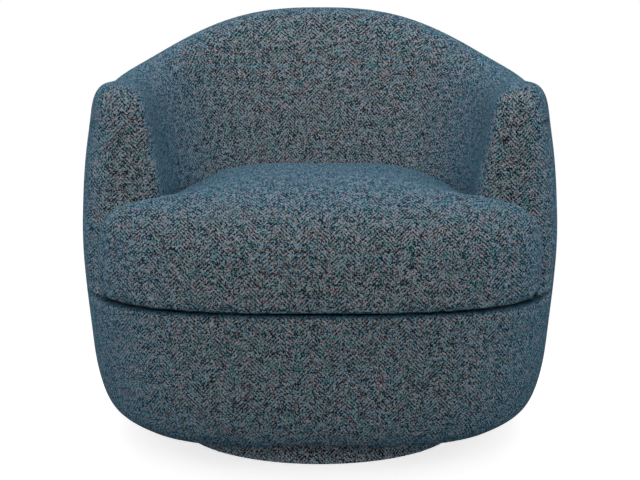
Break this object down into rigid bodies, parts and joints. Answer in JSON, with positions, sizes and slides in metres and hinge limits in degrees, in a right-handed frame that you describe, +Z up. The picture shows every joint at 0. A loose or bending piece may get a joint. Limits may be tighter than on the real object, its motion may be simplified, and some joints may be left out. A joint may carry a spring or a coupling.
{
  "type": "swivel rocker",
  "caption": "Upholstered swivel rocker with a barrel tub, a T cushion and a low round plinth",
  "frame": {"origin": "on the swivel axis at floor level, under the middle of the chair's outline", "axes": "+Z up, -Y the way the sitter faces, +X the sitter's left and the right seen from the front"},
  "size_m": [0.8422, 0.838, 0.7602],
  "materials": {
    "tweed": "herringbone weave",
    "dark_tweed": "herringbone weave",
    "hardwood": "planed",
    "plywood": "sanded",
    "zinc_steel": "zinc plated",
    "spring_steel": "oil tempered",
    "black_steel": "satin black",
    "nylon": "moulded",
    "rubber": "matt",
    "felt": "pressed felt",
    "cambric": "non-woven"
  },
  "bodies": {
    "plinth": {"plinth_board": "plywood", "plinth_ring": "plywood", "plinth_cover": "dark_tweed", "glide_1": "nylon", "glide_2": "nylon", "glide_3": "nylon", "glide_4": "nylon", "swivel_lower_plate": "zinc_steel", "king_bolt": "zinc_steel", "king_nut": "zinc_steel"},
    "ball_cage": {"ball_cage": "nylon"},
    "swivel": {"swivel_upper_plate": "zinc_steel", "cross_member_front": "black_steel", "cross_member_back": "black_steel", "rocker_rail_left": "black_steel", "rocker_rail_right": "black_steel", "pivot_bush_left": "nylon", "pivot_bush_right": "nylon", "rock_spring_left_front": "spring_steel", "rock_spring_left_back": "spring_steel", "rock_spring_right_front": "spring_steel", "rock_spring_right_back": "spring_steel", "bump_stop_left_front": "rubber", "bump_stop_left_back": "rubber", "bump_stop_right_front": "rubber", "bump_stop_right_back": "rubber"},
    "tub": {"rocker_arm_left": "black_steel", "rocker_arm_right": "black_steel", "pivot_axle": "zinc_steel", "axle_clip_left": "zinc_steel", "axle_clip_right": "zinc_steel", "mount_rail_left": "hardwood", "mount_rail_right": "hardwood", "bottom_ring": "plywood", "base_post_front_right": "hardwood", "base_post_back_right": "hardwood", "base_post_back_left": "hardwood", "base_post_front_left": "hardwood", "seat_rail_right": "hardwood", "seat_rail_back": "hardwood", "seat_rail_left": "hardwood", "seat_rail_front": "hardwood", "arm_post_left": "hardwood", "arm_post_right": "hardwood", "back_post_left": "hardwood", "back_post_right": "hardwood", "top_rail": "plywood", "seat_spring_1": "spring_steel", "seat_spring_2": "spring_steel", "seat_spring_3": "spring_steel", "seat_spring_4": "spring_steel", "dust_cover": "cambric", "seat_deck": "felt", "base_upholstery": "dark_tweed", "arm_upholstery_left": "tweed", "arm_upholstery_right": "tweed", "back_upholstery": "tweed", "seat_cushion": "tweed"}
  },
  "joints": [
    {"name": "swivel", "type": "hinge", "parent": "plinth", "child": "swivel", "pos_m": [0, 0, 0.0435], "axis": [0, 0, 1], "continuous": true},
    {"name": "cage_roll", "type": "hinge", "parent": "plinth", "child": "ball_cage", "pos_m": [0, 0, 0.0435], "axis": [0, 0, 1], "continuous": true},
    {"name": "rock", "type": "hinge", "parent": "swivel", "child": "tub", "pos_m": [0, 0, 0.097], "axis": [1, 0, 0], "range_deg": [-8, 5], "stiffness_Nm_per_rad": 600, "deforming": ["rock_spring_left_front", "rock_spring_left_back", "rock_spring_right_front", "rock_spring_right_back"]}
  ],
  "couplings": [
    {"joint": "cage_roll", "follows": "swivel", "ratio": 0.5}
  ]
}
